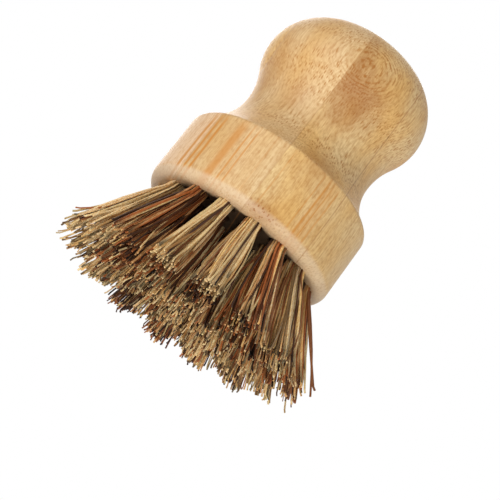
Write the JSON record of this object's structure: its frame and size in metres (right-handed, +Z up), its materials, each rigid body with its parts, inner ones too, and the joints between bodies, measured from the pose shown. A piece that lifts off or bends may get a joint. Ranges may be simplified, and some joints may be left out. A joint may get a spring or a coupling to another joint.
{
  "type": "palm brush",
  "caption": "Hand-held scrubbing brush: a turned knob handle with a waist and a collar, and stiff splayed plant-fibre tufts set in its flat underside.",
  "frame": {"origin": "centre of the plane of the trimmed bristle tips, on the handle's axis", "axes": "+Z up the handle's axis towards the knob, +Y along the glue lines between the boards, away from the picture's camera"},
  "size_m": [0.0688, 0.0688, 0.0835],
  "materials": {
    "bamboo_pale": "satin oiled bamboo, paler board",
    "bamboo_brown": "satin oiled bamboo, browner board",
    "plant_fibre": "mixed cream, tan, red-brown and dark stiff plant fibres",
    "staple_wire": "drawn zinc-plated steel wire"
  },
  "bodies": {
    "root": {"board_left": "bamboo_pale", "board_right": "bamboo_brown", "ply_left_collar": "bamboo_pale", "ply_left_knob": "bamboo_pale", "ply_right": "bamboo_brown", "tuft_outer_1": "plant_fibre", "tuft_outer_2": "plant_fibre", "tuft_outer_3": "plant_fibre", "tuft_outer_4": "plant_fibre", "tuft_outer_5": "plant_fibre", "tuft_outer_6": "plant_fibre", "tuft_outer_7": "plant_fibre", "tuft_outer_8": "plant_fibre", "tuft_outer_9": "plant_fibre", "tuft_outer_10": "plant_fibre", "tuft_outer_11": "plant_fibre", "tuft_outer_12": "plant_fibre", "tuft_outer_13": "plant_fibre", "tuft_outer_14": "plant_fibre", "tuft_outer_15": "plant_fibre", "tuft_outer_16": "plant_fibre", "tuft_middle_1": "plant_fibre", "tuft_middle_2": "plant_fibre", "tuft_middle_3": "plant_fibre", "tuft_middle_4": "plant_fibre", "tuft_middle_5": "plant_fibre", "tuft_middle_6": "plant_fibre", "tuft_middle_7": "plant_fibre", "tuft_middle_8": "plant_fibre", "tuft_middle_9": "plant_fibre", "tuft_middle_10": "plant_fibre", "tuft_middle_11": "plant_fibre", "tuft_inner_1": "plant_fibre", "tuft_inner_2": "plant_fibre", "tuft_inner_3": "plant_fibre", "tuft_inner_4": "plant_fibre", "tuft_inner_5": "plant_fibre", "tuft_inner_6": "plant_fibre", "tuft_centre": "plant_fibre", "staples_outer": "staple_wire", "staples_middle": "staple_wire", "staples_inner": "staple_wire", "staple_centre": "staple_wire"}
  },
  "joints": []
}
